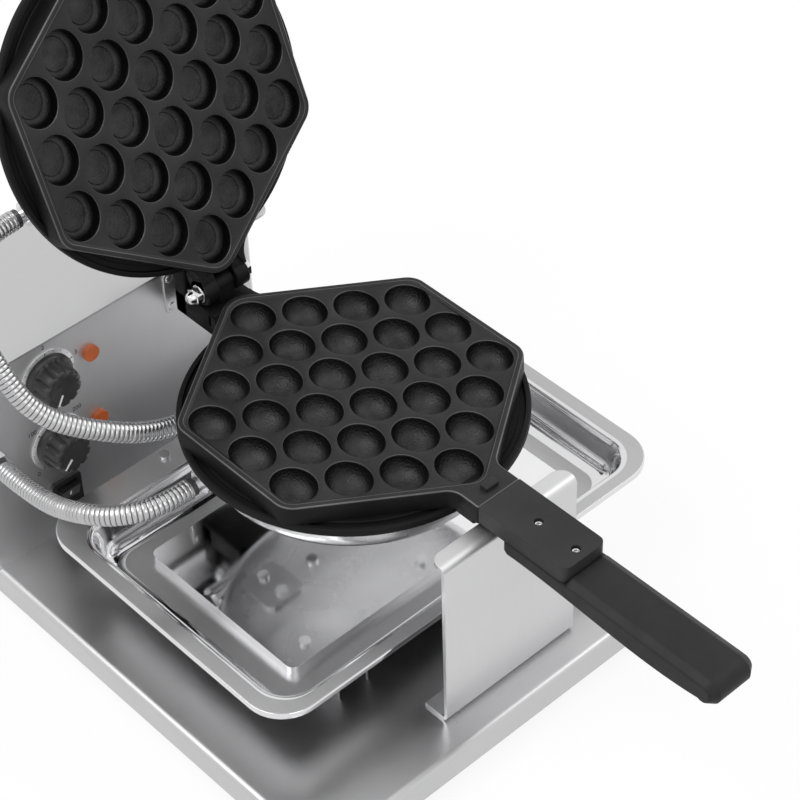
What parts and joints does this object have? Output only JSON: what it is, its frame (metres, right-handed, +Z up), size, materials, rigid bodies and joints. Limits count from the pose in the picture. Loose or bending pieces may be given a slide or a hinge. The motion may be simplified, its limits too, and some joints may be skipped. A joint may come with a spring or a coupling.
{
  "type": "bubble waffle maker",
  "caption": "Rotating bubble waffle maker: two hinged cast pans with rows of oval wells, long handles, a drip pan below and a stainless housing behind",
  "frame": {"origin": "centre of the whole machine's footprint, on the ground under its feet", "axes": "+Z up, -Y towards the handles, +Y to the housing and hinge, +X to the right; the pans' turning axis runs along Y at x = 5 mm, z = 177 mm"},
  "size_m": [0.3352, 0.5928, 0.5718],
  "materials": {
    "cast": "satin",
    "grip": "satin",
    "steel": "satin",
    "mirror_steel": "polished",
    "bright": "polished",
    "bronze": "satin",
    "rubber": "matte",
    "hose": "satin",
    "black_plastic": "satin",
    "dial": "satin",
    "lamp": "gloss",
    "ceramic": "satin"
  },
  "bodies": {
    "base": {"base_tray": "steel", "rubber_feet": "rubber", "front_rest": "steel", "rest_screws": "bright", "drip_pan": "steel", "pan_screws": "bright", "pan_rails": "steel", "mirror_plate": "mirror_steel", "housing_wrap": "steel", "housing_top": "steel", "housing_back": "steel", "housing_screws": "bright", "supply_gland": "black_plastic", "bearing": "bronze", "bearing_screws": "bright", "timer_dial": "dial", "timer_body": "black_plastic", "thermostat_dial": "dial", "thermostat_body": "black_plastic", "switch_bezel": "black_plastic", "lamps": "lamp", "terminal_block": "ceramic", "hose_outlet": "bright", "feed_hose": "hose"},
    "lower_pan": {"lower_plate": "cast", "lower_handle_bar": "cast", "lower_handle_screws": "bright", "lower_grip": "grip", "lower_heating_ring": "bright", "lower_cover": "steel", "lower_cover_screws": "bright", "lower_hatch": "steel", "lower_ferrules": "bright", "turning_shaft": "bright", "shaft_nut": "bright", "link_hose": "hose"},
    "lid": {"upper_plate": "cast", "upper_handle_bar": "cast", "upper_handle_screws": "bright", "upper_grip": "grip", "upper_heating_ring": "bright", "upper_cover": "steel", "upper_cover_screws": "bright", "upper_hatch": "steel", "upper_ferrules": "bright", "hinge_bolt": "bright", "hinge_nut": "bright"},
    "timer": {"timer_knob": "black_plastic", "timer_spindle": "bright"},
    "thermostat": {"thermostat_knob": "black_plastic", "thermostat_spindle": "bright"},
    "switch": {"rocker": "black_plastic"}
  },
  "joints": [
    {"name": "pan_turn", "type": "hinge", "parent": "base", "child": "lower_pan", "pos_m": [0.005, 0.0036, 0.177], "axis": [0, 1, 0], "range_deg": [-10, 10], "deforming": ["feed_hose"]},
    {"name": "lid_hinge", "type": "hinge", "parent": "lower_pan", "child": "lid", "pos_m": [0.005, 0.1231, 0.1865], "axis": [1, 0, 0], "range_deg": [0, 112.5], "deforming": ["link_hose"]},
    {"name": "timer_turn", "type": "hinge", "parent": "base", "child": "timer", "pos_m": [-0.107, 0.1556, 0.158], "axis": [0, 1, 0], "range_deg": [0, 300]},
    {"name": "thermostat_turn", "type": "hinge", "parent": "base", "child": "thermostat", "pos_m": [-0.107, 0.1556, 0.104], "axis": [0, 1, 0], "range_deg": [0, 270]},
    {"name": "switch_rock", "type": "hinge", "parent": "base", "child": "switch", "pos_m": [-0.107, 0.1556, 0.058], "axis": [-1, 0, 0], "range_deg": [0, 16]}
  ]
}
